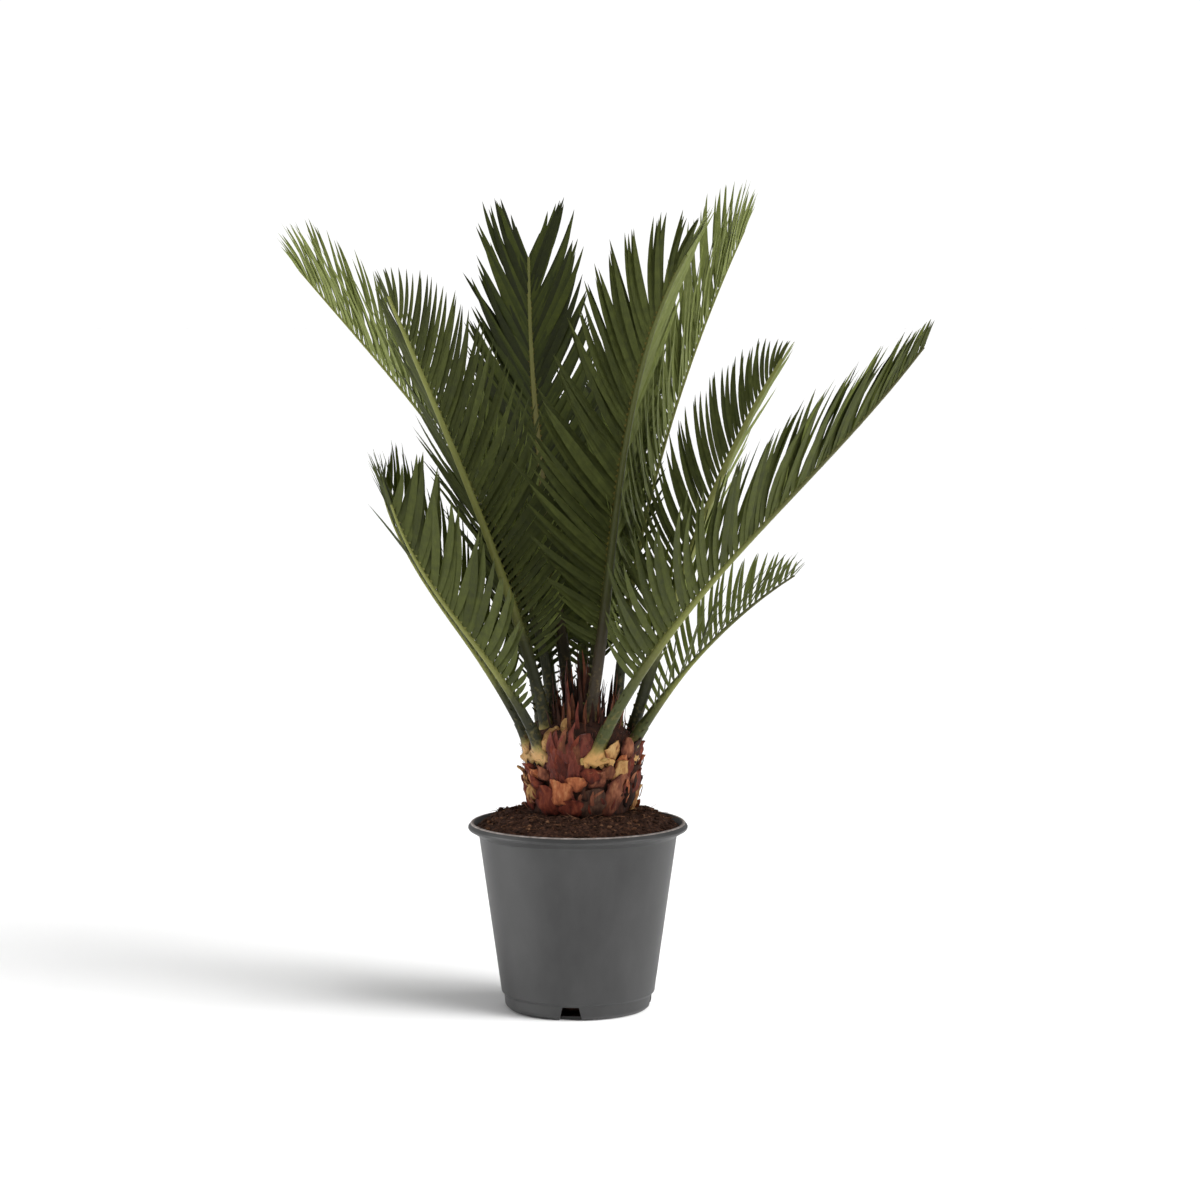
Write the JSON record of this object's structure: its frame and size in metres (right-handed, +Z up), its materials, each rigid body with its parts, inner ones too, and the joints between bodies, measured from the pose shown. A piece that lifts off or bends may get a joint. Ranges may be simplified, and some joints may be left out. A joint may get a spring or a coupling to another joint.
{
  "type": "potted sago palm",
  "caption": "Young sago palm with a scaly trunk and a crown of stiff feathery fronds, growing in a round plastic nursery pot.",
  "frame": {"origin": "middle of the pot's flat underside", "axes": "+Z up along the pot's axis, -Y toward the front of the plant, +X to its right"},
  "size_m": [0.5477, 0.5471, 0.7121],
  "materials": {
    "pot_plastic": "matt grey moulded plastic",
    "soil": "dark crumbly potting soil",
    "trunk_scales": "dry red-brown and tan leaf bases with woolly bud scales",
    "leaf": "leathery dark green with a soft sheen"
  },
  "bodies": {
    "root": {"pot": "pot_plastic", "soil": "soil", "caudex": "trunk_scales", "frond_01": "leaf", "frond_02": "leaf", "frond_03": "leaf", "frond_04": "leaf", "frond_05": "leaf", "frond_06": "leaf", "frond_07": "leaf", "frond_08": "leaf", "frond_09": "leaf", "frond_10": "leaf", "frond_11": "leaf", "frond_12": "leaf", "frond_13": "leaf", "frond_14": "leaf"}
  },
  "joints": []
}
